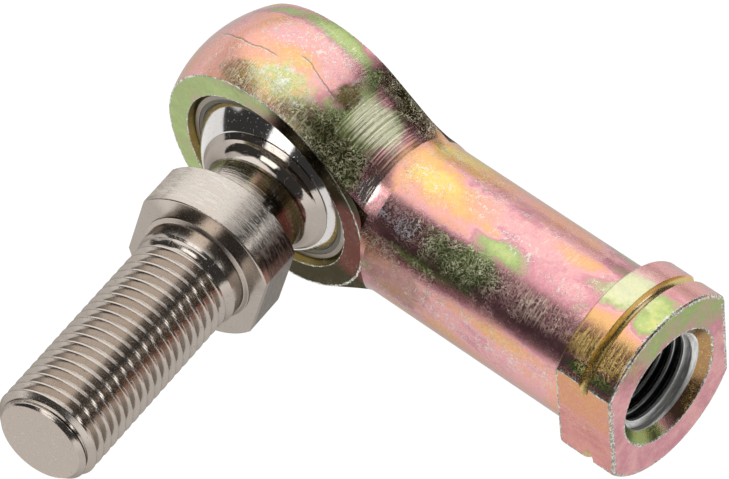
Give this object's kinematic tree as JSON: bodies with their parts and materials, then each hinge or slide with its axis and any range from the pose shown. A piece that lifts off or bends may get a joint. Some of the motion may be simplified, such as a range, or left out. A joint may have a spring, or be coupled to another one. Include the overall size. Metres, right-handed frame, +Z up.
{
  "type": "studded rod end bearing",
  "caption": "Studded rod end bearing: round eye with two flat faces on a hollow threaded shank, and a threaded stud that swivels on a ball held in the eye.",
  "frame": {"origin": "centre of the ball, where the axis of the eye crosses the axis of the shank", "axes": "+X along the shank to its threaded end face, Y along the axis of the eye with the stud on the -Y side, +Z up"},
  "size_m": [0.0537, 0.0477, 0.025],
  "materials": {
    "body": "turned steel, zinc plated with a multicoloured chromate film",
    "race": "grey satin",
    "liner": "dark olive",
    "ball": "polished",
    "stud": "turned steel, bright nickel"
  },
  "bodies": {
    "housing": {"body": "body", "race": "race"},
    "liner_ring": {"liner": "liner"},
    "ball_unit": {"ball": "ball"},
    "stud_unit": {"stud": "stud"}
  },
  "joints": [
    {"name": "swing", "type": "hinge", "parent": "housing", "child": "liner_ring", "pos_m": [0, 0, 0], "axis": [0, -1, 0], "continuous": true},
    {"name": "tilt", "type": "hinge", "parent": "liner_ring", "child": "ball_unit", "pos_m": [0, 0, 0], "axis": [-0.4775, 0, 0.8786], "range_deg": [-36, 13.8]},
    {"name": "spin", "type": "hinge", "parent": "ball_unit", "child": "stud_unit", "pos_m": [0, 0, 0], "axis": [0.1697, -0.9812, 0.0922], "continuous": true}
  ]
}
